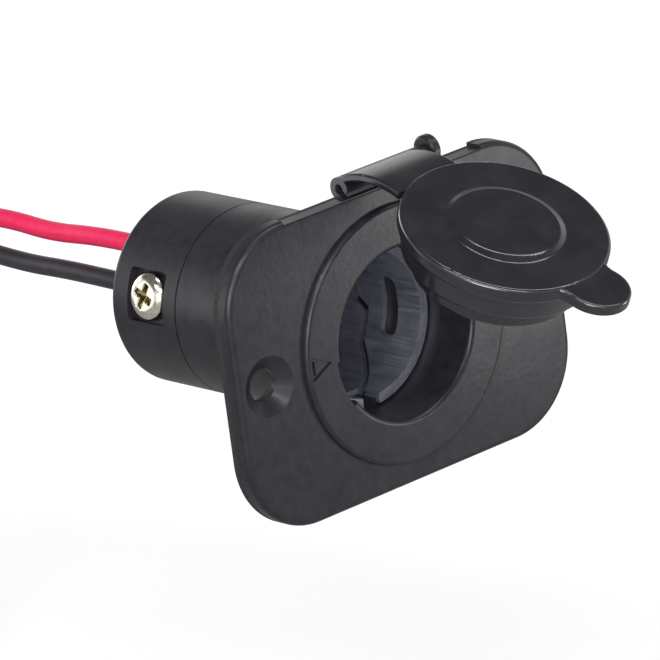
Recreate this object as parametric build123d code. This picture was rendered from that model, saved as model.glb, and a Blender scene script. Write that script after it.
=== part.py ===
from build123d import *
from math import atan2, cos, degrees, hypot, radians, sin, tan
import os

# Panel-mount 12 V accessory socket with a hinged weather cap. Millimetres.
# Origin: centre of the gasket's back face, on the bore's axis.
# +X to the right seen from the front, +Y into the panel, +Z up. The front faces -Y.

# The accessory plug's bore, which the sleeve, recess, barrel and cap follow
bore_r = 10.5

# Faceplate, gasket and raised ring
plate_w = 61.0
plate_h = 43.2
plate_t = 2.1
corner_r = 11.6
plate_edge_r = 0.8
gasket_t = 0.9
ring_w = 6.3
ring_rise = 0.8
ring_edge_r = 0.6
screw_spacing = 49.8
screw_hole_r = 2.3
countersink_r = 4.3
countersink_depth = 1.4
relief_w = 37.0
relief_h = 0.5

# Front recess, with its twist-lock entry notch
rim_step = 0.9
rim_lip_r = 0.7
recess_depth = 8.7
notch_reach = 0.9
notch_from = 181.0
notch_to = 213.0
notch_end_gap = 0.8
lock_groove_w = 1.5
lock_groove_turn = 40.0
arrow_shift = 0.5
arrow_z = 0.2
arrow_size = 3.6
arrow_line = 0.5
arrow_depth = 0.3

# Barrel, bulkhead and the spigot under the rear cover
tube_wall = 1.5
seam_y = 29.0
bulkhead_t = 2.6
spigot_len = 9.6
flat_depth = 1.05
pocket_wall = 3.1
pocket_land_depth = 3.9

# Contact sleeve: a drawn cup with a flared lip and twist-lock cams
sleeve_t = 0.8
lip_inset = 0.3
window_angle = -7.5
window_y = 11.0
window_len = 8.4
window_w = 3.1
cam_angle = -30.0
cam_w = 0.9
entry_angle = -93.0
entry_w = 3.0

# Centre contact stack
stud_r = 1.75
contact_r = 3.2
contact_t = 1.5
insulator_r = 4.2
insulator_t = 1.2
insulator_neck_r = 2.9
terminal_t = 0.8
positive_ring_r = 3.4
negative_ring_r = 2.1
lock_washer_r = 3.2
lock_washer_t = 0.9
nut_af = 6.0
nut_t = 2.8
stud_past_nut = 1.3
rivet_x = 0.5
rivet_z = -5.75
rivet_r = 0.9
rivet_head_r = 1.5
rivet_head_t = 0.7

# Leads
wire_r = 1.4
barrel_wall = 0.5
barrel_len = 6.0
red_angle = 9.8
black_angle = -37.2
strip_len = 8.0
conductor_r = 0.8
neck_w = 2.6

# Rear cover and its side screw
cover_rear = 43.0
cover_wall = 1.6
cover_floor_t = 1.0
cover_edge_r = 0.8
cover_screw_angle = 165.0
cover_screw_y = 35.6
screw_pocket_w = 7.6
screw_head_r = 3.5
screw_head_t = 2.2
screw_shank_r = 1.7
screw_len = 6.0
cross_w = 0.9
cross_len = 4.0
cross_depth = 1.3

# Cap
flange_lip = 0.65
cap_t = 2.3
cap_edge_r = 0.6
cap_under_r = 0.6
shoulder_flare = 0.6
seat_land = 0.4
shoulder_t = 3.4
plug_len = 2.8
plug_taper = 0.3
plug_wall = 1.8
crown_t = 2.2
disc_inset = 6.15
disc_slope = 1.0
disc_rise = 0.6
tab_turn = 8.0
tab_past_flange = 6.25
tab_tip_r = 4.7
tab_root_r = 3.0
tab_t = 1.5
tab_set_back = 0.15
tab_edge_r = 0.4

# Hinge: a pin held in the plate's lug, and an open hook on the cap's arched strap
hinge_y = -3.1
hinge_rise = 1.5
pin_r = 0.7
pin_inset = 1.4
hook_wall = 0.95
hook_mouth = 1.1
hook_mouth_angle = 228.0
strap_left = -8.2
strap_right = 3.9
strap_t = 1.2
strap_edge_r = 0.35
strap_set_back = 0.12
strap_root_inset = 1.95
lug_w = 4.9
ear_t = 1.7
ear_r = 2.1
ear_rise = 0.85
ear_edge_r = 0.5
open_angle = 64.0

# Clearances
fit_gap = 0.05
seat_gap = 0.2
seam_gap = 0.25
plug_gap = 0.4
bearing_gap = 0.06
side_gap = 0.6
cover_gap = 0.1
wire_gap = 0.15

# Derived places along the bore's axis
plate_back = -gasket_t
plate_front = plate_back - plate_t
ring_face = plate_front - ring_rise
lip_y = ring_face + recess_depth
pocket_y = seam_y + bulkhead_t
spigot_end = seam_y + spigot_len
cup_floor = seam_y - sleeve_t
insulator_front = cup_floor - insulator_t
washer_y = pocket_y + terminal_t
nut_y = washer_y + lock_washer_t
stud_end = nut_y + nut_t + stud_past_nut
cap_top = ring_face - seat_gap - shoulder_t - cap_t

# Derived radii, from the bore outwards
sleeve_r = bore_r + sleeve_t
draw_r = bore_r - hypot(rivet_x, rivet_z) - rivet_head_r - fit_gap
housing_bore_r = sleeve_r + fit_gap
rim_r = sleeve_r + rim_step
lip_r = rim_r - lip_inset
notch_r = rim_r + notch_reach
ring_r = rim_r + ring_w
arrow_r = (rim_r + ring_r) / 2 + arrow_shift
tube_r = rim_r + tube_wall
seat_r = rim_r + rim_lip_r + seat_land
shoulder_r = seat_r + shoulder_flare
cap_r = shoulder_r + flange_lip
disc_r = cap_r - disc_inset
tab_reach = cap_r + tab_past_flange
strap_root_z = cap_r - strap_root_inset
spigot_r = tube_r - cover_wall - cover_gap
spigot_flat = spigot_r - flat_depth
pocket_r = spigot_r - pocket_wall
pocket_land = pocket_r - pocket_land_depth
barrel_r = wire_r + fit_gap + barrel_wall
lead_ring = pocket_r - barrel_r - wire_gap
red_x = lead_ring * cos(radians(red_angle))
red_z = lead_ring * sin(radians(red_angle))
black_x = lead_ring * cos(radians(black_angle))
black_z = lead_ring * sin(radians(black_angle))

# Derived places of the hinge
hinge_z = plate_h / 2 + hinge_rise
hook_r = pin_r + bearing_gap + hook_wall
lug_left = strap_right + side_gap
lug_right = lug_left + lug_w
big = 4 * plate_w


def facing_front(y):
    """A sketch plane across the bore at y: local x is +X, local y is +Z, extrudes to the front."""
    return Plane(origin=(0, y, 0), x_dir=(1, 0, 0), z_dir=(0, -1, 0))


def radial_plane(angle, reach=0.0):
    """A sketch plane facing out of the bore at an angle from +X towards +Z: local y is +Y."""
    out = Vector(cos(radians(angle)), 0, sin(radians(angle)))
    across = (sin(radians(angle)), 0, -cos(radians(angle)))
    return Plane(origin=out * reach, x_dir=across, z_dir=out)


def slab(sketch, y_front, y_back):
    """The sketch drawn from the front, made solid between two depths."""
    return extrude(facing_front(y_back) * sketch, amount=y_back - y_front)


def disc(radius, y_front, y_back, x=0.0, z=0.0):
    return slab(Pos(x, z) * Circle(radius), y_front, y_back)


def turned(*points):
    """A solid of revolution about the bore's axis, from an outline of (radius, y) points."""
    return revolve(make_face(Polyline(*points, close=True)), Axis.Y)


def turned_soft(start, corners, end):
    """A solid of revolution with rounded corners: (radius, y) at both ends, (radius, y, rounding) between."""
    points = [start] + [corner[:2] for corner in corners] + [end]
    outline = FilletPolyline(*points, radius=[corner[2] for corner in corners])
    return revolve(make_face(outline + Line(end, start)), Axis.Y)


def rings_at(solid, radius, y):
    """The solid's round edges of this radius, at this depth."""
    rings = solid.edges().filter_by(GeomType.CIRCLE)
    return [e for e in rings if abs(e.radius - radius) + abs(e.arc_center.Y - y) < 0.01]


def past_flat(angle, reach):
    """Everything further out than a flat at this distance from the axis."""
    return extrude(radial_plane(angle, reach) * Rectangle(big, big), amount=big)


def polar(radius, angle):
    return (radius * cos(radians(angle)), radius * sin(radians(angle)))


def plate_outline():
    return RectangleRounded(plate_w, plate_h, corner_r)


def hinge_relief():
    """The strip by which the top edge is lowered under the hinge."""
    return Pos(0, plate_h / 2) * Rectangle(relief_w, 2 * relief_h)


def sector(radius, start, end):
    """A pie slice of the face, from one angle to another."""
    far = 2 * radius
    middle = (start + end) / 2
    outline = Polyline((0, 0), polar(far, start), polar(far, middle), polar(far, end), close=True)
    return Circle(radius) & make_face(outline)


def screw_positions():
    return [(-screw_spacing / 2, 0), (screw_spacing / 2, 0)]


def hinge_disc(radius, x_from, x_to):
    """A round about the hinge's axis, between two places along X."""
    plane = Plane(origin=(x_from, hinge_y, hinge_z), x_dir=(0, 1, 0), z_dir=(1, 0, 0))
    return extrude(plane * Circle(radius), amount=x_to - x_from)


def hinge_lug():
    """The lug on the plate's top edge: a boss bored for the hinge pin, and a taller ear at its end."""
    side = Plane(origin=(lug_left, 0, 0), x_dir=(0, 1, 0), z_dir=(1, 0, 0))
    foot_z = plate_h / 2 - relief_h
    foot = [(plate_front, foot_z - plate_t), (plate_back, foot_z - plate_t)]
    reach_y, reach_z = polar(hook_r, 37)
    shoulder = [(hinge_y + reach_y, hinge_z - reach_z), (hinge_y - reach_y, hinge_z - reach_z)]
    web = make_face(Polyline(*foot, (plate_back, foot_z), *shoulder, (plate_front, foot_z), close=True))
    lug = extrude(side * web, amount=lug_w) + hinge_disc(hook_r, lug_left, lug_right)
    ear = Pos(0, 0, ear_rise) * hinge_disc(ear_r, lug_right - ear_t, lug_right)
    lug += fillet(ear.edges().filter_by(GeomType.CIRCLE), ear_edge_r)
    return lug - hinge_disc(pin_r, lug_left, lug_right)


def hinge_pin():
    return hinge_disc(pin_r, strap_left + pin_inset, lug_right)


def lock_track():
    """The entry notch through the rim, and the groove that the plug's lug turns into."""
    depth = plate_back - notch_end_gap
    notch = slab(sector(notch_r, notch_from, notch_to), ring_face, depth)
    groove = slab(sector(notch_r, notch_from - lock_groove_turn, notch_to), depth - lock_groove_w, depth)
    return notch + groove


def arrow_mark():
    """An engraved outline triangle on the ring, pointing at the notch."""
    half = arrow_size / 2
    points = [(-half, half), (half, 0), (-half, -half)]
    line = make_face(Polyline(*points, close=True))
    mark = Pos(-arrow_r, arrow_z) * (line - offset(line, -arrow_line))
    return slab(mark, ring_face, ring_face + arrow_depth)


def faceplate_housing():
    plate = slab(plate_outline(), plate_front, plate_back)
    front_edges = plate.faces().sort_by(Axis.Y)[0].edges()
    plate = fillet(front_edges, plate_edge_r) - slab(hinge_relief(), plate_front, plate_back)
    ring = disc(ring_r, ring_face, plate_back)
    ring = fillet(ring.edges().sort_by(Axis.Y)[0], ring_edge_r)
    barrel = disc(tube_r, plate_back, seam_y)
    spigot = disc(spigot_r, seam_y, spigot_end) - past_flat(cover_screw_angle, spigot_flat)
    body = plate + ring + barrel + spigot + hinge_lug()

    seat = lip_y + sleeve_t
    body -= turned((0, ring_face), (rim_r, ring_face), (rim_r, seat), (housing_bore_r, seat),
                   (housing_bore_r, seam_y), (0, seam_y))
    body = fillet(rings_at(body, rim_r, ring_face), rim_lip_r)
    pocket = disc(pocket_r, pocket_y, spigot_end) - past_flat(cover_screw_angle, pocket_land)
    body = body - pocket - lock_track() - arrow_mark()
    body -= disc(stud_r + wire_gap, seam_y, pocket_y)
    body -= disc(rivet_r + fit_gap, seam_y, pocket_y, rivet_x, rivet_z)
    for x, z in screw_positions():
        sink = plate_front + countersink_depth
        cone = turned((0, plate_front), (countersink_r, plate_front), (screw_hole_r, sink), (0, sink))
        body -= disc(screw_hole_r, plate_front, plate_back, x, z) + Pos(x, 0, z) * cone
    thread_end = spigot_flat - screw_len
    thread = Pos(0, cover_screw_y) * Circle(screw_shank_r + fit_gap / 2)
    return body - extrude(radial_plane(cover_screw_angle, thread_end) * thread, amount=screw_len + 1)


def panel_gasket():
    sheet = plate_outline() - hinge_relief() - Circle(tube_r + fit_gap)
    for x, z in screw_positions():
        sheet -= Pos(x, z) * Circle(screw_hole_r)
    return slab(sheet, plate_back, 0)


def cam_slot():
    """The wavy twist-lock slot: a ramp, a detent step and a parking run, milled through the wall."""
    stops = [(14, 18.2), (-8, 18.2), (-15, 16.0), (-38, 15.7), (-84, 8.0)]
    path = [(sleeve_r * sin(radians(cam_angle - turn)), y) for turn, y in stops]
    return extrude(radial_plane(cam_angle) * trace(Polyline(*path), line_width=cam_w), amount=tube_r)


def contact_sleeve():
    cup = turned((bore_r, lip_y), (lip_r, lip_y), (lip_r, lip_y + sleeve_t), (sleeve_r, lip_y + sleeve_t),
                 (sleeve_r, seam_y), (insulator_neck_r + fit_gap, seam_y),
                 (insulator_neck_r + fit_gap, cup_floor), (bore_r, cup_floor))
    for radius, y, bend in ((bore_r, cup_floor, draw_r), (sleeve_r, seam_y, draw_r + sleeve_t)):
        cup = fillet(rings_at(cup, radius, y), bend)
    window = RectangleRounded(window_len, window_w, window_w / 3)
    cup -= extrude(radial_plane(window_angle) * (Pos(0, window_y) * window), amount=tube_r)
    entry = Pos(0, lip_y + entry_w / 2) * Rectangle(entry_w, 2 * entry_w)
    cup -= extrude(radial_plane(entry_angle, bore_r / 2) * entry, amount=tube_r)
    cup -= cam_slot()
    return cup - disc(rivet_r + fit_gap, cup_floor - 1, seam_y, rivet_x, rivet_z)


def centre_insulator():
    body = disc(insulator_r, insulator_front, cup_floor) + disc(insulator_neck_r, cup_floor, seam_y)
    return body - disc(stud_r + fit_gap, insulator_front, seam_y)


def centre_contact():
    """A domed contact button on a threaded stud."""
    front = insulator_front - contact_t
    head = disc(contact_r, front, insulator_front)
    head = fillet(head.edges().sort_by(Axis.Y)[0], contact_t * 0.6)
    stud = disc(stud_r, insulator_front, stud_end)
    return head + chamfer(stud.edges().sort_by(Axis.Y)[-1], stud_r * 0.2)


def terminal(hole_x, hole_z, hole_r, ring_r_out, lead_x, lead_z):
    """A ring terminal on the pocket's floor, whose crimp barrel stands up around the lead."""
    run_x, run_z = lead_x - hole_x, lead_z - hole_z
    length = hypot(run_x, run_z)
    middle = Pos(hole_x + run_x / 2, hole_z + run_z / 2) * Rot(0, 0, degrees(atan2(run_z, run_x)))
    flat = Pos(hole_x, hole_z) * Circle(ring_r_out) + middle * Rectangle(length, neck_w)
    flat += Pos(lead_x, lead_z) * Circle(barrel_r)
    flat -= Pos(hole_x, hole_z) * Circle(hole_r)
    barrel = disc(barrel_r, pocket_y, pocket_y + barrel_len, lead_x, lead_z)
    barrel -= disc(wire_r + fit_gap, washer_y, pocket_y + barrel_len, lead_x, lead_z)
    return slab(flat, pocket_y, washer_y) + barrel


def stud_lock_washer():
    """A split spring washer."""
    ring = Circle(lock_washer_r) - Circle(stud_r + fit_gap)
    ring -= Rot(0, 0, 200) * Pos(lock_washer_r, 0) * Rectangle(2 * lock_washer_r, lock_washer_t / 2)
    return slab(ring, washer_y, nut_y)


def stud_nut():
    hexagon = RegularPolygon(nut_af / 2, 6, major_radius=False) - Circle(stud_r + fit_gap / 2)
    nut = slab(hexagon, nut_y, nut_y + nut_t)
    corner = nut_af / 2 / cos(radians(30))
    trim = corner - nut_af / 2
    return nut & turned((0, nut_y), (corner, nut_y), (corner, nut_y + nut_t - trim / 2),
                        (nut_af / 2, nut_y + nut_t), (0, nut_y + nut_t))


def sleeve_rivet():
    front, back = cup_floor, washer_y
    rivet = disc(rivet_r, front, back, rivet_x, rivet_z)
    inner = disc(rivet_head_r, front - rivet_head_t, front, rivet_x, rivet_z)
    outer = disc(rivet_head_r, back, back + rivet_head_t, rivet_x, rivet_z)
    dome = rivet_head_t * 0.7
    inner = fillet(inner.edges().sort_by(Axis.Y)[0], dome)
    outer = fillet(outer.edges().sort_by(Axis.Y)[-1], dome)
    return rivet + inner + outer


def rear_cover():
    front = seam_y + seam_gap
    shell = disc(tube_r, front, cover_rear)
    shell = fillet(shell.edges().sort_by(Axis.Y)[-1], cover_edge_r)
    flat = spigot_flat + fit_gap
    shell -= disc(spigot_r + fit_gap, front, cover_rear - cover_wall) - past_flat(cover_screw_angle, flat)
    floor = flat + cover_floor_t
    pocket = Pos(0, cover_screw_y) * RectangleRounded(screw_pocket_w, screw_pocket_w, 0.6)
    shell -= extrude(radial_plane(cover_screw_angle, floor) * pocket, amount=tube_r)
    hole = Pos(0, cover_screw_y) * Circle(screw_shank_r + wire_gap)
    shell -= extrude(radial_plane(cover_screw_angle, flat - 1) * hole, amount=tube_r)
    for x, z in ((red_x, red_z), (black_x, black_z)):
        shell -= disc(wire_r + wire_gap, cover_rear - cover_wall, cover_rear, x, z)
    return shell


def cover_screw():
    """A pan-head screw with a cross recess, set along the cover's radius."""
    under = spigot_flat + fit_gap + cover_floor_t
    head = extrude(Circle(screw_head_r), amount=screw_head_t)
    head = fillet(head.edges().sort_by(Axis.Z)[-1], screw_head_t * 0.75)
    bar = Box(cross_len, cross_w, 2 * cross_depth)
    head -= Pos(0, 0, screw_head_t) * (bar + Rot(0, 0, 90) * bar)
    shank_len = under - (spigot_flat - screw_len)
    shank = extrude(Circle(screw_shank_r), amount=-shank_len)
    shank = chamfer(shank.edges().sort_by(Axis.Z)[0], screw_shank_r * 0.6)
    place = radial_plane(cover_screw_angle, under) * Pos(0, cover_screw_y) * Rot(0, 0, 28)
    return place * (head + shank)


def lead_route(x, z, points):
    """A lead's corner points, from inside its crimp barrel; (y, drop) pairs follow the crimp."""
    start = (x, washer_y, z)
    return [start] + [(x, y, z - drop) for y, drop in points]


red_route = lead_route(red_x, red_z, [(65, 0), (104, 0.6), (122, 19), (124.5, 44), (120, 66)])
black_route = lead_route(black_x, black_z, [(64, 0), (101, -1.4), (116, 15), (118, 38), (114, 59)])


def bend_radii(route):
    """Each corner's radius: its arc takes up 0.45 of the shorter run beside it."""
    radii = []
    for before, at, after in zip(route, route[1:], route[2:]):
        come = Vector(*at) - Vector(*before)
        go = Vector(*after) - Vector(*at)
        half_turn = radians(come.get_angle(go)) / 2
        radii.append(0.45 * min(come.length, go.length) / tan(half_turn))
    return radii


def swept(route, radii, radius):
    path = FilletPolyline(*route, radius=radii)
    start = Plane(origin=path @ 0, z_dir=path % 0)
    return sweep(start * Circle(radius), path=path)


def lead(route):
    radii = bend_radii(route)
    print("bend radii, mm:", [round(r, 1) for r in radii])
    return swept(route, radii, wire_r)


def stripped_end(route):
    """The bare conductor past the end of the insulation."""
    last, end = Vector(*route[-2]), Vector(*route[-1])
    way = (end - last).normalized()
    return extrude(Plane(origin=end, z_dir=way) * Circle(conductor_r), amount=strip_len)


def cap_strap():
    """The strap, drawn closed and seen along X: an arch from the cap's top over to the hook."""
    plane = Plane(origin=(strap_left, 0, 0), x_dir=(0, 1, 0), z_dir=(1, 0, 0))
    leave_y = cap_top + strap_set_back
    run_y, run_z = hinge_y - leave_y, hinge_z - strap_root_z
    arch_r = (run_y ** 2 + run_z ** 2 - hook_r ** 2) / (2 * (run_y - hook_r))
    middle = (leave_y + arch_r, strap_root_z)
    crest = degrees(atan2(run_z, run_y - arch_r))
    outer = CenterArc(middle, arch_r, crest, 180 - crest)
    inner = CenterArc(middle, arch_r - strap_t, crest, 180 - crest)
    outline = make_face([outer, inner, Line(outer @ 0, inner @ 0), Line(outer @ 1, inner @ 1)])
    strap = extrude(plane * outline, amount=strap_right - strap_left)
    strap = fillet(strap.edges().filter_by(GeomType.CIRCLE), strap_edge_r)
    strap += hinge_disc(hook_r, strap_left, strap_right)
    strap -= hinge_disc(pin_r + bearing_gap, strap_left, strap_right)
    mouth_turn = Pos(0, hinge_y, hinge_z) * Rot(hook_mouth_angle + open_angle, 0, 0)
    return strap - mouth_turn * Pos(0, hook_r, 0) * Box(big, 2 * hook_r, hook_mouth)


def pull_tab():
    """A round lobe that runs out of the flange in two soft curves."""
    lobe = Rot(0, 0, tab_turn) * Pos(0, tab_tip_r - tab_reach) * Circle(tab_tip_r)
    outline = Circle(cap_r - cap_edge_r) + lobe
    outline = fillet(outline.vertices(), tab_root_r)
    front = cap_top + tab_set_back
    tab = slab(outline, front, front + tab_t)
    return fillet(tab.faces().sort_by(Axis.Y)[0].edges(), tab_edge_r)


def sealing_cap():
    """The soft moulded cap, drawn shut on the ring, then swung open about its hinge."""
    step = cap_top + cap_t
    seat = step + shoulder_t
    end = seat + plug_len
    plug_r = rim_r - plug_gap
    hollow_r = plug_r - plug_taper - plug_wall
    cap = turned_soft((0, cap_top - disc_rise), [
        (disc_r - disc_slope, cap_top - disc_rise, 1.0), (disc_r, cap_top, 0.8),
        (cap_r, cap_top, cap_edge_r), (cap_r, step, cap_under_r), (shoulder_r, step, 0.2),
        (seat_r, seat, 0.4), (plug_r, seat, 0.2), (plug_r - plug_taper, end, 0.5),
        (hollow_r, end, 0.4), (hollow_r, cap_top + crown_t, 0.8)], (0, cap_top + crown_t))
    cap += cap_strap() + pull_tab()
    return Pos(0, hinge_y, hinge_z) * Rot(-open_angle, 0, 0) * Pos(0, -hinge_y, -hinge_z) * cap


nodes = {
    "faceplate_housing": faceplate_housing(),
    "panel_gasket": panel_gasket(),
    "contact_sleeve": contact_sleeve(),
    "centre_insulator": centre_insulator(),
    "centre_contact": centre_contact(),
    "positive_terminal": terminal(0, 0, stud_r + fit_gap, positive_ring_r, red_x, red_z),
    "negative_terminal": terminal(rivet_x, rivet_z, rivet_r + fit_gap, negative_ring_r, black_x, black_z),
    "stud_lock_washer": stud_lock_washer(),
    "stud_nut": stud_nut(),
    "sleeve_rivet": sleeve_rivet(),
    "rear_cover": rear_cover(),
    "cover_screw": cover_screw(),
    "red_lead": lead(red_route),
    "black_lead": lead(black_route),
    "red_stripped_end": stripped_end(red_route),
    "black_stripped_end": stripped_end(black_route),
    "hinge_pin": hinge_pin(),
    "sealing_cap": sealing_cap(),
}

os.makedirs("parts", exist_ok=True)
for name, solid in nodes.items():
    solid.label = name
    export_step(solid, f"parts/{name}.step")
    box = solid.bounding_box()
    print(f"{name:20s} solids {len(solid.solids())} volume {solid.volume:9.1f}", box.min, box.max)
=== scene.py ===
# %% [markdown]
# # Dressing a panel-mount power socket
# The socket screws to a dashboard: a rounded faceplate with a twist-lock bore, a barrel behind it,
# a hinged cap in front and two leads at the back. Its solids are already exact, so this lesson only
# adds what solids lack: camera, finishes, leads that bend, stranded ends, a finer screw and light.
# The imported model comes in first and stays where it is, so every new piece shares its frame:
# +X to the right seen from the front, +Y into the panel, +Z up, in metres.

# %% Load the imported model
from math import cos, pi, radians, sin

import bpy
import numpy as np
from mathutils import Matrix, Quaternion, Vector


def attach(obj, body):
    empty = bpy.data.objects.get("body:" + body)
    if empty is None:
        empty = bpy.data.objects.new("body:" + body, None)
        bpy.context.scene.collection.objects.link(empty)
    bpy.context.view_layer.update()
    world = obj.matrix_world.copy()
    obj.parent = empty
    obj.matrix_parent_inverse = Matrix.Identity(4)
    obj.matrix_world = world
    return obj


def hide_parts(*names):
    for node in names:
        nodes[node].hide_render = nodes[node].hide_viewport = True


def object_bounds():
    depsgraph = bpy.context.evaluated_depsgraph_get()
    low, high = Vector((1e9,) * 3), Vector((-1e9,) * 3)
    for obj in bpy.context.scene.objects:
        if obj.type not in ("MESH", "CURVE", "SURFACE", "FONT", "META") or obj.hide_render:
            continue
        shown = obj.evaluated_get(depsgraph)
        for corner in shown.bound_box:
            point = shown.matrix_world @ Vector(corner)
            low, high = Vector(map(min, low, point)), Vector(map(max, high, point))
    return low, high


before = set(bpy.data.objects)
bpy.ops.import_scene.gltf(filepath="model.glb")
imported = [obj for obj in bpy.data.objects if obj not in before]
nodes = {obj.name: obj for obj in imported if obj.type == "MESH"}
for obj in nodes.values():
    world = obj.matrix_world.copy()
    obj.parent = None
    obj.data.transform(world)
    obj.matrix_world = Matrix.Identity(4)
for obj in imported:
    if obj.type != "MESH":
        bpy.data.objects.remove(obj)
MM = 0.001
cad_box = np.array(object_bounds()).tolist()
scene = bpy.context.scene
scene.view_settings.view_transform = "Standard"
print("nodes:", ", ".join(sorted(nodes)))

# %% [markdown]
# ## The camera
# A product shot like this one is taken from far away with a long lens, so parallel edges stay nearly
# parallel. The camera's direction, roll and distance are stated as angles round the object. Building
# its matrix from right, up and back vectors is steadier than chaining Euler angles, because each
# vector can be checked by itself.

# %% Place the camera
PHOTO_PIXELS, FOCAL_PIXELS, SENSOR_WIDTH = 660, 7143.9, 36
CAMERA_TURN, CAMERA_RISE, CAMERA_ROLL = radians(-40.1), radians(17.69), radians(-7.64)
CAMERA_DISTANCE = 0.984
AIM_ASIDE, AIM_UP = -7.98, 0.95  # from the origin to the picture's middle, in mm

back = Vector((sin(CAMERA_TURN) * cos(CAMERA_RISE), -cos(CAMERA_TURN) * cos(CAMERA_RISE),
               sin(CAMERA_RISE)))
level = Vector((cos(CAMERA_TURN), sin(CAMERA_TURN), 0))
rise = back.cross(level)
look_at = (AIM_ASIDE * level + AIM_UP * rise) * MM
right = cos(CAMERA_ROLL) * level + sin(CAMERA_ROLL) * rise
up = cos(CAMERA_ROLL) * rise - sin(CAMERA_ROLL) * level

camera = bpy.data.objects.new("long_lens", bpy.data.cameras.new("long_lens"))
placing = Matrix((right, up, back)).transposed().to_4x4()
placing.translation = look_at + back * CAMERA_DISTANCE
camera.matrix_world = placing
camera.data.sensor_width = SENSOR_WIDTH
camera.data.lens = SENSOR_WIDTH * FOCAL_PIXELS / PHOTO_PIXELS
scene.collection.objects.link(camera)
scene.camera = camera
print("camera at", [round(v, 3) for v in camera.location], "lens", round(camera.data.lens, 1), "mm")

# %% [markdown]
# ## Helpers for the finishes
# Colours are written as the sRGB hex values that an eye would pick from a screen, and one function
# turns them to the linear values that shaders add up. Node trees get long when every node takes five
# lines, so one small function adds any node with its settings and its links. The others start a
# finish, link what varies to its shader, turn a size into a texture scale, and put the finish on.

# %% Helpers: colours, nodes and finishes
NOISE_SPAN = {"From Min": 0.3, "From Max": 0.7}  # nearly all values of a noise lie in here


def linear(hex_colour):
    """sRGB hex to linear RGBA: each channel is c / 12.92 near black, else
    ((c + 0.055) / 1.055) ^ 2.4."""
    channels = np.array([int(hex_colour[i:i + 2], 16) for i in (1, 3, 5)]) / 255
    curved = np.where(channels <= 0.04045, channels / 12.92, ((channels + 0.055) / 1.055) ** 2.4)
    return (*curved.tolist(), 1.0)


def add(material, kind, inputs=None, **settings):
    """Adds one node. Settings are its own properties; inputs gives sockets a value or another
    node's output."""
    tree = material.node_tree
    node = tree.nodes.new(kind)
    for name, value in settings.items():
        setattr(node, name, value)
    for socket, value in (inputs or {}).items():
        if isinstance(value, bpy.types.NodeSocket):
            tree.links.new(value, node.inputs[socket])
        else:
            node.inputs[socket].default_value = value
    return node


def finish_named(name, **constants):
    """A new material and its shader, with the values that are the same all over the surface."""
    material = bpy.data.materials.new(name)
    material.use_nodes = True
    shader = material.node_tree.nodes["Principled BSDF"]
    for socket, value in constants.items():
        shader.inputs[socket.replace("_", " ")].default_value = value
    return material, shader


def feed(shader, **sources):
    """Links other nodes' outputs to the shader's sockets, for what varies over the surface."""
    for socket, source in sources.items():
        shader.id_data.links.new(source, shader.inputs[socket.replace("_", " ")])


def per_mm(size):
    """The texture scale, in 1/m, at which a pattern repeats every size millimetres."""
    return 1 / (size * MM)


def coat(material, *names):
    """Gives CAD nodes this finish in place of the plain one they came with."""
    for name in names:
        mesh = nodes[name].data
        mesh.materials.clear()
        mesh.materials.append(material)


print("helpers ready")

# %% [markdown]
# ## Moulded nylon
# The housing and the rear cover are glass-filled nylon, moulded in a spark-eroded steel mould. That
# leaves a satin skin: a fine grain that scatters the light, a mottle of slightly greyer spots where
# glass fibres came near the surface, and wide patches that are a little duller. The grain is really
# about 0.05 mm; it is drawn at 0.7 mm, because at its own size it would only be noise in the picture.
# A bump of a few hundredths of a millimetre does it, with no need for extra geometry.

# %% Finish: moulded nylon
# A low specular level stands for the matt skin: the black stays deep where the floor is mirrored.
nylon, shader = finish_named("glass_filled_nylon_moulded", IOR=1.53, Specular_IOR_Level=0.25)
place = add(nylon, "ShaderNodeTexCoord").outputs["Object"]
grain = add(nylon, "ShaderNodeTexNoise", {"Vector": place, "Scale": per_mm(0.7), "Detail": 1.0})
cloud = add(nylon, "ShaderNodeTexNoise", {"Vector": place, "Scale": per_mm(7.0), "Detail": 1.5})
mottle = add(nylon, "ShaderNodeTexNoise", {"Vector": place, "Scale": per_mm(1.6), "Detail": 1.0})
tint = add(nylon, "ShaderNodeValToRGB", {"Fac": mottle.outputs["Fac"]})
low, high = tint.color_ramp.elements
low.position, low.color = 0.25, linear("#1f1d22")
high.position, high.color = 0.75, linear("#29272c")
satin = add(nylon, "ShaderNodeMapRange", {"Value": cloud.outputs["Fac"], **NOISE_SPAN,
                                          "To Min": 0.29, "To Max": 0.38})
skin = add(nylon, "ShaderNodeBump", {"Height": grain.outputs["Fac"], "Strength": 0.5,
                                     "Distance": 0.035 * MM})
feed(shader, Base_Color=tint.outputs["Color"], Roughness=satin.outputs["Result"],
     Normal=skin.outputs["Normal"])
coat(nylon, "faceplate_housing", "rear_cover")
print("moulded nylon on the housing and the rear cover")

# %% [markdown]
# ## Soft cap compound
# The cap is flexible PVC, which copies a polished mould: darker and glossier than the nylon, with
# soft waves of a few millimetres where it shrank. Those waves bend the reflections, so the bump is
# wide and shallow, and the roughness drifts between slightly greasy and slightly dull.

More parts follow.
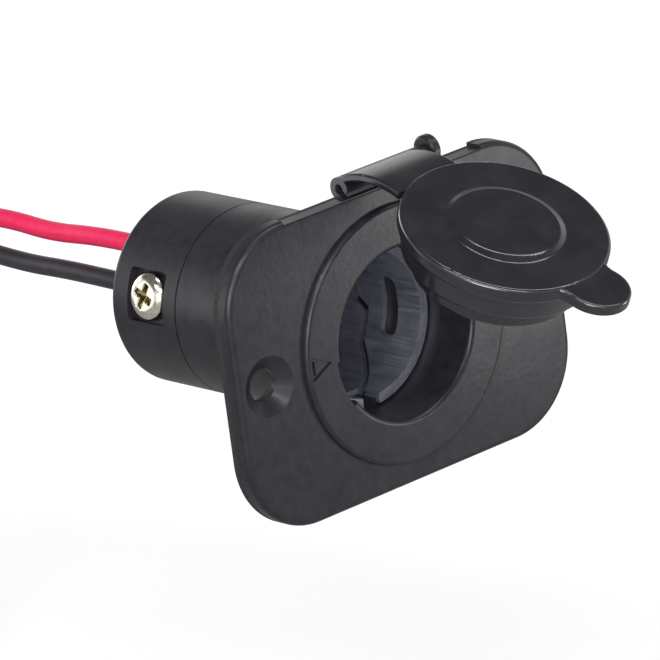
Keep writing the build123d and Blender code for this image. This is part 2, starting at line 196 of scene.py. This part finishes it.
# %% Finish: soft cap compound
soft_pvc, shader = finish_named("flexible_pvc_moulded", IOR=1.54, Specular_IOR_Level=0.56)
place = add(soft_pvc, "ShaderNodeTexCoord").outputs["Object"]
wave = add(soft_pvc, "ShaderNodeTexNoise", {"Vector": place, "Scale": per_mm(5.0), "Detail": 0.5})
haze = add(soft_pvc, "ShaderNodeTexNoise", {"Vector": place, "Scale": per_mm(4.0), "Detail": 2.0})
tint = add(soft_pvc, "ShaderNodeValToRGB", {"Fac": haze.outputs["Fac"]})
low, high = tint.color_ramp.elements
low.position, low.color = 0.30, linear("#1c1a20")
high.position, high.color = 0.75, linear("#242227")
gloss = add(soft_pvc, "ShaderNodeMapRange", {"Value": haze.outputs["Fac"], **NOISE_SPAN,
                                             "To Min": 0.14, "To Max": 0.22})
skin = add(soft_pvc, "ShaderNodeBump", {"Height": wave.outputs["Fac"], "Strength": 0.25,
                                        "Distance": 0.05 * MM})
feed(shader, Base_Color=tint.outputs["Color"], Roughness=gloss.outputs["Result"],
     Normal=skin.outputs["Normal"])
coat(soft_pvc, "sealing_cap")
print("soft compound on the sealing cap")

# %% [markdown]
# ## Gasket rubber
# The flat gasket is cut from a sheet of black rubber. A cut edge is duller than a moulded one and
# shows fine pores, so it is rough, almost without gloss, and pitted at about 0.4 mm.

# %% Finish: gasket rubber
gasket_rubber, shader = finish_named("sheet_rubber_die_cut", IOR=1.52)
place = add(gasket_rubber, "ShaderNodeTexCoord").outputs["Object"]
pores = add(gasket_rubber, "ShaderNodeTexVoronoi", {"Vector": place, "Scale": per_mm(0.4)})
tint = add(gasket_rubber, "ShaderNodeValToRGB", {"Fac": pores.outputs["Distance"]})
low, high = tint.color_ramp.elements
low.color, high.color = linear("#0e0e10"), linear("#19181b")
dull = add(gasket_rubber, "ShaderNodeMapRange", {"Value": pores.outputs["Distance"],
                                                 "To Min": 0.85, "To Max": 0.65})
skin = add(gasket_rubber, "ShaderNodeBump", {"Height": pores.outputs["Distance"], "Strength": 0.6,
                                             "Distance": 0.04 * MM})
feed(shader, Base_Color=tint.outputs["Color"], Roughness=dull.outputs["Result"],
     Normal=skin.outputs["Normal"])
coat(gasket_rubber, "panel_gasket")
print("rubber on the gasket")

# %% [markdown]
# ## Metals that share one recipe
# Every metal piece here is plated or bare, and most show the direction they were worked in: the
# sleeve was drawn along the bore, the stud was turned round its axis, and the terminals were rolled
# flat. One recipe serves them all: a noise stretched along the working direction changes roughness
# and colour a little, and a fine bump carries the tool marks. A table gives each its own colours,
# roughness and stretch, so the differences can be read side by side. Real tool marks are a few
# hundredths of a millimetre wide; they are drawn several times as wide, because otherwise none
# would show.

# %% Finish: worked metals
WORKED_METALS = {
    # name: (dark, light, least rough, most rough, mark size in mm along x, y and z, pieces)
    "dull_nickel_drawn": ("#989ba8", "#bcbfcc", 0.50, 0.64, (0.35, 9.0, 0.35), ["contact_sleeve"]),
    "brass_turned": ("#a58a4a", "#cdb06a", 0.28, 0.38, (2.5, 0.25, 2.5), ["centre_contact"]),
    "tinned_brass_rolled": ("#b3afa2", "#d2cec2", 0.28, 0.42, (0.3, 0.3, 6.0),
                            ["positive_terminal", "negative_terminal"]),
    "zinc_plate_passivated": ("#9fa3a6", "#c4c8c6", 0.30, 0.46, (0.6, 0.6, 0.6),
                              ["stud_lock_washer", "stud_nut", "sleeve_rivet"]),
    "bright_nickel_plate": ("#cfc8b6", "#e9e4d6", 0.14, 0.26, (0.5, 0.5, 0.5), ["cover_screw"]),
    "black_oxide_steel": ("#18181b", "#26262a", 0.34, 0.48, (5.0, 0.4, 0.4), ["hinge_pin"]),
}
metals = {}
for name, (dark, light, least, most, marks, pieces) in WORKED_METALS.items():
    metal, shader = finish_named(name, Metallic=1.0)
    place = add(metal, "ShaderNodeTexCoord").outputs["Object"]
    stretch = add(metal, "ShaderNodeMapping", {"Vector": place,
                                               "Scale": [per_mm(size) for size in marks]})
    tool = add(metal, "ShaderNodeTexNoise", {"Vector": stretch.outputs["Vector"], "Scale": 1.0,
                                             "Detail": 4.0})
    stain = add(metal, "ShaderNodeTexNoise", {"Vector": place, "Scale": per_mm(4.0), "Detail": 4.0})
    both = add(metal, "ShaderNodeMath", {0: tool.outputs["Fac"], 1: stain.outputs["Fac"]},
               operation="MULTIPLY")
    tint = add(metal, "ShaderNodeValToRGB", {"Fac": both.outputs["Value"]})
    low, high = tint.color_ramp.elements
    low.position, low.color = 0.12, linear(dark)
    high.position, high.color = 0.38, linear(light)
    worn = add(metal, "ShaderNodeMapRange", {"Value": tool.outputs["Fac"], **NOISE_SPAN,
                                             "To Min": least, "To Max": most})
    skin = add(metal, "ShaderNodeBump", {"Height": tool.outputs["Fac"], "Strength": 0.3,
                                         "Distance": 0.01 * MM})
    feed(shader, Base_Color=tint.outputs["Color"], Roughness=worn.outputs["Result"],
         Normal=skin.outputs["Normal"])
    coat(metal, *pieces)
    metals[name] = metal
print("worked metals:", ", ".join(metals))

# %% [markdown]
# ## Insulator
# The disc under the centre contact is pressed phenolic: brown, with darker flecks of its filler. The
# flecks dip a little below the resin between them and shine a little more.

# %% Finish: pressed phenolic
phenolic, shader = finish_named("phenolic_pressed", IOR=1.6)
place = add(phenolic, "ShaderNodeTexCoord").outputs["Object"]
fleck = add(phenolic, "ShaderNodeTexNoise", {"Vector": place, "Scale": per_mm(0.5), "Detail": 3.0})
tint = add(phenolic, "ShaderNodeValToRGB", {"Fac": fleck.outputs["Fac"]})
low, high = tint.color_ramp.elements
low.position, low.color = 0.35, linear("#3a2216")
high.position, high.color = 0.65, linear("#6b4327")
pressed = add(phenolic, "ShaderNodeMapRange", {"Value": fleck.outputs["Fac"], **NOISE_SPAN,
                                               "To Min": 0.38, "To Max": 0.54})
skin = add(phenolic, "ShaderNodeBump", {"Height": fleck.outputs["Fac"], "Strength": 0.3,
                                        "Distance": 0.02 * MM})
feed(shader, Base_Color=tint.outputs["Color"], Roughness=pressed.outputs["Result"],
     Normal=skin.outputs["Normal"])
coat(phenolic, "centre_insulator")
print("phenolic on the insulator")

# %% [markdown]
# ## Lead insulation
# The leads are PVC, extruded over stranded copper. Extruded PVC is smooth and a little waxy, with soft
# lumps where the strands press out from under it. Both leads share the recipe and differ in pigment. A
# little light goes into the plastic before it comes back, which a small subsurface weight gives; it
# softens the red most.

# %% Finish: extruded PVC
LEAD_PIGMENTS = {"red": ("#dc1a50", "#e52a5e"), "black": ("#26242b", "#312f36")}
insulation = {}
for pigment, (deep, pale) in LEAD_PIGMENTS.items():
    pvc, shader = finish_named(f"{pigment}_pvc_extruded", IOR=1.53, Specular_IOR_Level=0.3,
                               Subsurface_Weight=0.08, Subsurface_Scale=0.6 * MM)
    place = add(pvc, "ShaderNodeTexCoord").outputs["Object"]
    lumps = add(pvc, "ShaderNodeTexNoise", {"Vector": place, "Scale": per_mm(1.6), "Detail": 3.0})
    tint = add(pvc, "ShaderNodeValToRGB", {"Fac": lumps.outputs["Fac"]})
    low, high = tint.color_ramp.elements
    low.position, low.color = 0.3, linear(deep)
    high.position, high.color = 0.7, linear(pale)
    waxy = add(pvc, "ShaderNodeMapRange", {"Value": lumps.outputs["Fac"], **NOISE_SPAN,
                                           "To Min": 0.34, "To Max": 0.46})
    skin = add(pvc, "ShaderNodeBump", {"Height": lumps.outputs["Fac"], "Strength": 0.3,
                                       "Distance": 0.03 * MM})
    feed(shader, Base_Color=tint.outputs["Color"], Roughness=waxy.outputs["Result"],
         Normal=skin.outputs["Normal"])
    insulation[pigment] = pvc
print("insulation:", ", ".join(insulation))

# %% [markdown]
# ## The leads
# A lead is one flexible length: straight out of its crimp and the cover's hole, then down under its
# own weight. A NURBS spline with few control points gives that line, because it stays smooth wherever
# the points are moved; a round bevel gives the insulation. The control points repeat the route of the
# solid lead, with a few more on its level run: wire that was coiled once is never quite straight again,
# so each lead waves by up to half a millimetre before it drops.

# %% Build: two leads
CRIMP_Y, LEAD_RADIUS = 32.4, 1.4
STEPS_ALONG, STEPS_ROUND = 24, 10
LEAD_ROUTES = {
    # pigment: (place across and height at the crimp, then pairs of distance back and drop)
    "red": (6.7008, 1.1574, [(45, 0), (60, -0.45), (70, -0.4), (80, 0.45), (90, -0.3), (104, 0.5),
                             (122, 19), (124.5, 44), (120, 66)]),
    "black": (5.4164, -4.1113, [(45, 0), (58, 0.15), (68, 0.05), (76, 0), (86, 0.35), (101, -0.6),
                                (116, 15), (118, 38), (114, 59)]),
}


def route_points(across, height, runs):
    """The crimp, then each (back, drop) pair below the crimp's height, in metres."""
    start = [[across, CRIMP_Y, height]]
    rest = [[across, y, height - drop] for y, drop in runs]
    return np.array(start + rest) * MM


leads = {}
for pigment, route in LEAD_ROUTES.items():
    points = route_points(*route)
    curve = bpy.data.curves.new(f"{pigment}_flex", "CURVE")
    curve.dimensions = "3D"
    spline = curve.splines.new("NURBS")
    spline.points.add(len(points) - 1)
    spline.points.foreach_set("co", np.column_stack([points, np.ones(len(points))]).ravel())
    spline.order_u = 3
    spline.use_endpoint_u = True
    spline.resolution_u = STEPS_ALONG
    curve.bevel_depth = LEAD_RADIUS * MM
    curve.bevel_resolution = STEPS_ROUND
    curve.use_fill_caps = True
    curve.materials.append(insulation[pigment])
    lead = bpy.data.objects.new(f"{pigment}_flex", curve)
    scene.collection.objects.link(lead)
    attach(lead, "socket")
    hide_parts(f"{pigment}_lead")
    leads[pigment] = (lead, points)
    print(pigment, "lead:", len(points), "control points")

# %% [markdown]
# ## From arrays to meshes
# The other new pieces are surfaces worked out as whole arrays of points. Modelling them by hand would
# hide their sizes in the mesh; as arrays, every size stays a number that can be changed. Both the
# strands and the screw are made of rings of points in a row, so one function finds the faces between
# rings for both, and one makes the object.

# %% Helpers: arrays to meshes
def mesh_piece(name, vertices, faces, material, smooth=True):
    """An object at the origin from arrays of vertices and faces, with its place in its mesh."""
    mesh = bpy.data.meshes.new(name)
    mesh.from_pydata(vertices.reshape(-1, 3).tolist(), [], faces)
    mesh.materials.append(material)
    if smooth:
        mesh.shade_smooth()
    else:
        mesh.shade_flat()
    piece = bpy.data.objects.new(name, mesh)
    scene.collection.objects.link(piece)
    return piece


def tube_faces(tubes, steps, around):
    """Quads of several closed tubes whose vertices run tube by tube, step by step, round and round."""
    t, s, a = np.meshgrid(np.arange(tubes), np.arange(steps - 1), np.arange(around), indexing="ij")
    first = (t * steps + s) * around
    after = (a + 1) % around
    quads = np.stack([first + a, first + after, first + around + after, first + around + a], axis=-1)
    ends = np.arange(tubes)[:, None] * steps * around + np.arange(around)[None, :]
    near = ends[:, ::-1]
    far = ends + (steps - 1) * around
    return quads.reshape(-1, 4).tolist() + near.tolist() + far.tolist()


print("mesh helpers ready")

# %% [markdown]
# ## Tinned copper
# The wires inside the leads are drawn copper with a thin coat of tin. Tin wets copper unevenly, so the
# copper shows in patches, and those are duller than the tin. A real patch can be a tenth of a
# millimetre; it is drawn at 0.7 mm so that both colours show.

# %% Finish: tinned copper
tinned, shader = finish_named("tinned_copper_drawn", Metallic=1.0)
place = add(tinned, "ShaderNodeTexCoord").outputs["Object"]
patch = add(tinned, "ShaderNodeTexNoise", {"Vector": place, "Scale": per_mm(0.7), "Detail": 3.0})
tint = add(tinned, "ShaderNodeValToRGB", {"Fac": patch.outputs["Fac"]})
low, high = tint.color_ramp.elements
low.position, low.color = 0.40, linear("#b9855c")
high.position, high.color = 0.55, linear("#cfc9be")
worn = add(tinned, "ShaderNodeMapRange", {"Value": patch.outputs["Fac"], **NOISE_SPAN,
                                          "To Min": 0.42, "To Max": 0.28})
skin = add(tinned, "ShaderNodeBump", {"Height": patch.outputs["Fac"], "Strength": 0.3,
                                      "Distance": 0.01 * MM})
feed(shader, Base_Color=tint.outputs["Color"], Roughness=worn.outputs["Result"],
     Normal=skin.outputs["Normal"])
print("tinned copper for the strands")

# %% [markdown]
# ## Stranded ends
# Each lead ends in bare strands, twisted so that they don't fray. Nineteen wires in rings of one, six
# and twelve make the round bundle. Every wire is a thin tube along a helix, and all of them are one
# array: wires by steps along the twist by points round the tube.

# %% Build: stranded ends
STRIP_LENGTH, STRAND_RADIUS, TWIST_PITCH = 8.0, 0.155, 11.0
STRAND_RINGS = [(0.0, 1), (0.31, 6), (0.62, 12)]  # radius of the ring, wires in it


def strands(start, way, length, steps=40, around=8):
    """Wires on helices: centre = start + way * s + ring * (cos turn, sin turn) with turn growing by
    one full circle each pitch, and a circle of the wire's radius round each centre."""
    way = way / np.linalg.norm(way)
    side = np.cross(way, [1.0, 0, 0])
    side /= np.linalg.norm(side)
    other = np.cross(way, side)
    ring = np.concatenate([np.full(count, radius) for radius, count in STRAND_RINGS])
    angle = np.concatenate([np.arange(count) * 2 * pi / count for _, count in STRAND_RINGS])
    s = np.linspace(0, length, steps)
    turn = angle[:, None] + 2 * pi * s[None, :] / TWIST_PITCH
    across = ring[:, None] * np.cos(turn)
    over = ring[:, None] * np.sin(turn)
    round_angle = np.arange(around) * 2 * pi / around
    x = across[..., None] + STRAND_RADIUS * np.cos(round_angle)
    y = over[..., None] + STRAND_RADIUS * np.sin(round_angle)
    along = np.broadcast_to(s[None, :, None], x.shape)
    local = x[..., None] * side + y[..., None] * other + along[..., None] * way
    return start + local * MM, tube_faces(len(ring), steps, around)


for pigment, (_, points) in leads.items():
    vertices, faces = strands(points[-1], points[-1] - points[-2], STRIP_LENGTH)
    end = mesh_piece(f"{pigment}_strands", vertices, faces, tinned)
    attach(end, "socket")
    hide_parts(f"{pigment}_stripped_end")
    print(pigment, "strands:", len(faces), "faces")

# %% [markdown]
# ## The cover's screw
# A cold-headed pan-head screw holds the cover. Its crown rolls over in one soft curve and its cross
# was punched, so the recess has sloping walls and gets deeper towards the middle. Cutting boxes out of
# a cylinder would leave knife edges that catch no light. A height over a polar grid gives the crown,
# the recess and their soft edges at once; the same rings run on under the head and down the shank.

# %% Build: cover screw
SCREW_TURN, SCREW_Y, CROSS_TURN = radians(165), 35.6, radians(68)
HEAD_FOOT, HEAD_RADIUS, HEAD_HEIGHT, CROWN_ROUND = 12.0, 3.5, 2.2, 1.65
SHANK_RADIUS, SHANK_LENGTH, TIP_TAPER = 1.7, 7.05, 0.6
CROSS_LENGTH, CROSS_WIDTH, CROSS_DEPTH, CROSS_SLOPE = 4.0, 0.9, 1.3, 0.16
CROSS_RISE = 0.6  # share of the depth that is lost from the middle to an arm's end
POLE_RADIUS = 0.02


def soft_step(x):
    """3 x^2 - 2 x^3 between 0 and 1: flat at both ends."""
    x = np.clip(x, 0, 1)
    return x * x * (3 - 2 * x)


def cross_recess(u, v):
    """Depth of the punched cross: two bars with sloping walls, joined by taking the deeper of the
    two, each shallower in proportion to the distance from the middle."""
    def bar(along, across):
        inside_end = soft_step((CROSS_LENGTH / 2 - np.abs(along)) / (2 * CROSS_SLOPE))
        inside_side = soft_step((CROSS_WIDTH / 2 + CROSS_SLOPE - np.abs(across)) / (2 * CROSS_SLOPE))
        return inside_end * inside_side
    deepest = CROSS_DEPTH * (1 - CROSS_RISE * np.hypot(u, v) / (CROSS_LENGTH / 2))
    return np.maximum(bar(u, v), bar(v, u)) * np.maximum(deepest, 0)


def pan_head_screw(crown_rings=64, around=256):
    """Rings round the screw's axis. Crown height = head height - round + sqrt(round^2 - (radius past
    the flat)^2), less the recess; then the head's rim and underside and the shank with its tip."""
    crown_r = np.linspace(POLE_RADIUS, HEAD_RADIUS, crown_rings)
    past_flat = np.maximum(crown_r - (HEAD_RADIUS - CROWN_ROUND), 0)
    crown_z = HEAD_HEIGHT - CROWN_ROUND + np.sqrt(np.maximum(CROWN_ROUND ** 2 - past_flat ** 2, 0))
    tip = TIP_TAPER * SHANK_RADIUS
    rest_r = np.array([HEAD_RADIUS, SHANK_RADIUS, SHANK_RADIUS, SHANK_RADIUS - tip])
    rest_z = np.array([0, 0, tip - SHANK_LENGTH, -SHANK_LENGTH])
    radius = np.concatenate([crown_r, rest_r])[:, None]
    height = np.concatenate([crown_z, rest_z])[:, None]
    # The rings start at the crown, so they run clockwise to make the faces point outwards.
    turn = -np.linspace(0, 2 * pi, around, endpoint=False)[None, :]
    u, v = radius * np.cos(turn), radius * np.sin(turn)
    on_crown = (np.arange(len(radius)) < crown_rings)[:, None]
    height = height - np.where(on_crown, cross_recess(u, v), 0)
    x = u * cos(CROSS_TURN) - v * sin(CROSS_TURN)
    y = u * sin(CROSS_TURN) + v * cos(CROSS_TURN)
    out = np.array([cos(SCREW_TURN), 0, sin(SCREW_TURN)])
    across = np.array([sin(SCREW_TURN), 0, -cos(SCREW_TURN)])
    back_way = np.array([0.0, 1.0, 0.0])
    place = ((HEAD_FOOT + height)[..., None] * out + x[..., None] * across
             + (SCREW_Y + y)[..., None] * back_way)
    return place * MM, tube_faces(1, len(radius), around)


nickel = metals["bright_nickel_plate"]
vertices, faces = pan_head_screw()
screw = mesh_piece("pan_head_screw", vertices, faces, nickel)
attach(screw, "socket")
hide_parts("cover_screw")
print("screw:", len(faces), "faces")

# %% [markdown]
# ## Painted shade and thin plating in the cross
# Plating current hardly reaches into the punched cross, so the nickel is thin there and the steel
# shows through, brownish and dull; the same darkening also paints in the shade that falls in the
# recess. Painting a mask by hand would be lost when the screw changes. Here the finish measures each
# point's height along the screw's axis and its distance from it, and darkens with depth below the
# crown, near the axis only.

# %% Finish: painted shade and thin plating in the cross
DARKER_FROM, DARKER_TO = 0.08, 0.45  # depth below the crown, in mm
OUTSIDE_CROSS, INSIDE_CROSS = 2.15, 2.05  # distance from the axis, in mm
outward, crown_top = (cos(SCREW_TURN), 0, sin(SCREW_TURN)), HEAD_FOOT + HEAD_HEIGHT
shader = nickel.node_tree.nodes["Principled BSDF"]
bright = shader.inputs["Base Color"].links[0].from_socket
place = add(nickel, "ShaderNodeTexCoord").outputs["Object"]
along = add(nickel, "ShaderNodeVectorMath", {0: place, 1: outward}, operation="DOT_PRODUCT")
from_axis = add(nickel, "ShaderNodeVectorMath", {0: place, 1: (0, -SCREW_Y * MM, 0)},
                operation="ADD")
aside = add(nickel, "ShaderNodeVectorMath", {0: from_axis.outputs["Vector"], 1: outward},
            operation="CROSS_PRODUCT")
off_axis = add(nickel, "ShaderNodeVectorMath", {0: aside.outputs["Vector"]}, operation="LENGTH")
sunk = add(nickel, "ShaderNodeMapRange", {"Value": along.outputs["Value"],
                                          "From Min": (crown_top - DARKER_FROM) * MM,
                                          "From Max": (crown_top - DARKER_TO) * MM})
inside = add(nickel, "ShaderNodeMapRange", {"Value": off_axis.outputs["Value"],
                                            "From Min": OUTSIDE_CROSS * MM,
                                            "From Max": INSIDE_CROSS * MM})
# Painted shade in the recess, together with thin plating: the cross turns brownish and dull with depth,
# near the axis.
painted_shade_and_thin_plating = add(nickel, "ShaderNodeMath", {0: sunk.outputs["Result"], 1: inside.outputs["Result"]},
           operation="MULTIPLY")
# This mix to brown paints the recess's shade and its thin plating; it is not wear.
worn = add(nickel, "ShaderNodeMixRGB", {"Fac": painted_shade_and_thin_plating.outputs["Value"], "Color1": bright,
                                        "Color2": linear("#8a7d5e")})
feed(shader, Base_Color=worn.outputs["Color"])
print("plating thins out from", DARKER_FROM, "to", DARKER_TO, "mm below the crown")

# %% [markdown]

# %% [markdown]
# ## Floor
# The object hangs over a plain paper floor. Lamps light paper less and less with distance, so a real
# studio floor goes grey towards the horizon. Lighting it more would light the object from below too.
# Instead the paper itself is light grey and glows for the camera, more towards the edges: it stays
# white up to the horizon, while near the object it keeps room for a soft shadow. Rays that gloss,
# metal or glass send on see a tenth of that glow.

# %% Build: floor
FLOOR_DROP, FLOOR_HALF = 2.0, 3.0  # below the leads' ends in mm, half a side in metres
GLOW_NEAR, GLOW_FAR, MIRRORED_SHARE = 0.68, 1.0, 0.1
GLOW_START, GLOW_END = 0.1, 0.7  # distance from the object, in metres
floor_z = cad_box[0][2] - FLOOR_DROP * MM
corners = np.array([[-FLOOR_HALF, -FLOOR_HALF, floor_z], [FLOOR_HALF, -FLOOR_HALF, floor_z],
                    [FLOOR_HALF, FLOOR_HALF, floor_z], [-FLOOR_HALF, FLOOR_HALF, floor_z]])
paper, shader = finish_named("pale_paper_matt", Roughness=0.9, Specular_IOR_Level=0.0)
shader.inputs["Base Color"].default_value = linear("#a6a6a6")
shader.inputs["Emission Color"].default_value = linear("#ffffff")
ray = add(paper, "ShaderNodeLightPath").outputs
passed_on = add(paper, "ShaderNodeMath", {0: ray["Is Glossy Ray"], 1: ray["Is Transmission Ray"]},
                operation="MAXIMUM")
mirrored = add(paper, "ShaderNodeMath", {0: passed_on.outputs["Value"], 1: MIRRORED_SHARE},
               operation="MULTIPLY")
seen = add(paper, "ShaderNodeMath", {0: ray["Is Camera Ray"], 1: mirrored.outputs["Value"]},
           operation="MAXIMUM")
place = add(paper, "ShaderNodeTexCoord").outputs["Object"]
away = add(paper, "ShaderNodeVectorMath", {0: place}, operation="LENGTH")
sweep = add(paper, "ShaderNodeMapRange", {"Value": away.outputs["Value"],
                                          "From Min": GLOW_START, "From Max": GLOW_END,
                                          "To Min": GLOW_NEAR, "To Max": GLOW_FAR})
lift = add(paper, "ShaderNodeMath", {0: seen.outputs["Value"], 1: sweep.outputs["Result"]},
           operation="MULTIPLY")
feed(shader, Emission_Strength=lift.outputs["Value"])
floor = mesh_piece("paper_floor", corners, [[0, 1, 2, 3]], paper, smooth=False)
print("floor at", round(floor_z, 4))

# %% [markdown]
# ## Light tent
# Black plastic shows its form only by what it mirrors, so the room matters as much as the lamps. The
# object hangs in a tent with white walls up to about 20 degrees and a dim roof from about 30 degrees
# up. The cap's top mirrors that roof and stays near black, while the flat front mirrors the floor and
# goes dark grey. The camera, and rays that gloss, metal or glass send on, see the tent as it is; what
# falls on the object from it is a sixth of that, so that the lamps do the lighting.

# %% Build: tent walls and roof
WALL_TOP, ROOF_START, TENT_FILL = 0.34, 0.52, 0.16  # sines of the heights, share of the light
ROOF_TONE = "#707070"
world = bpy.data.worlds.new("light_tent")
scene.world = world
world.use_nodes = True
sky = world.node_tree.nodes["Background"]
way = add(world, "ShaderNodeTexCoord").outputs["Generated"]
steepness = add(world, "ShaderNodeSeparateXYZ", {"Vector": way}).outputs["Z"]
tent = add(world, "ShaderNodeValToRGB", {"Fac": steepness})
low, high = tent.color_ramp.elements
low.position, low.color = WALL_TOP, linear("#ffffff")
high.position, high.color = ROOF_START, linear(ROOF_TONE)
ray = add(world, "ShaderNodeLightPath").outputs
passed_on = add(world, "ShaderNodeMath", {0: ray["Is Glossy Ray"], 1: ray["Is Transmission Ray"]},
                operation="MAXIMUM")
mirrored = add(world, "ShaderNodeMapRange", {"Value": passed_on.outputs["Value"],
                                             "To Min": TENT_FILL, "To Max": 1.0})
strength = add(world, "ShaderNodeMath", {0: ray["Is Camera Ray"], 1: mirrored.outputs["Result"]},
               operation="MAXIMUM")
feed(sky, Color=tent.outputs["Color"], Strength=strength.outputs["Value"])
print("tent: white walls, roof", ROOF_TONE)

# %% [markdown]
# ## Soft boxes
# Rounded edges draw bright lines from long narrow lamps, and flat faces fade where a small card is
# mirrored in them, so each lamp here has one job. All are area lamps aimed at the socket: point lamps
# would leave hard dots on the gloss. A roll turns a strip round its own aim until its mirror image
# lies along the edge that it is meant for.

# %% Build: soft boxes
SOFT_BOXES = {
    # name: (place in metres, width, height, roll in degrees, watts)
    # The key comes low from the left: it rounds the barrel and reaches into the bore.
    "key_left": ((-0.80, -0.68, 0.22), 0.55, 0.40, 0, 9.0),
    # A long strip above the front left draws the bright lines on the cap's rim and on its disc.
    "strip_above": ((-0.29, -0.41, 0.46), 0.86, 0.10, -26, 3.9),
    # A small card beside the plate is mirrored in its right-hand corner and fades across the front.
    "card_right": ((0.105, -0.102, -0.022), 0.03, 0.05, 0, 0.05),
    # Another small card, behind on the left, whitens the screw's head.
    "card_left": ((-0.0665, 0.0626, 0.0097), 0.044, 0.03, 0, 0.006),
    # A strip overhead draws the lines on the near edges of the raised disc and of the bore.
    "strip_overhead": ((0.30, -0.22, 0.80), 0.75, 0.12, -88, 3.1),
    # A fill keeps the back from going black.
    "fill_behind": ((-0.10, 1.10, 0.15), 0.80, 0.50, 0, 3.2),
}
for name, (spot, width, height, roll, watts) in SOFT_BOXES.items():
    lamp = bpy.data.lights.new(name, "AREA")
    lamp.shape = "RECTANGLE"
    lamp.size, lamp.size_y, lamp.energy = width, height, watts
    box = bpy.data.objects.new(name, lamp)
    box.location = spot
    box.visible_camera = False
    aim = (-Vector(spot)).to_track_quat("-Z", "Y") @ Quaternion((0, 0, 1), radians(roll))
    box.rotation_euler = aim.to_euler()
    scene.collection.objects.link(box)
print("soft boxes:", ", ".join(SOFT_BOXES))
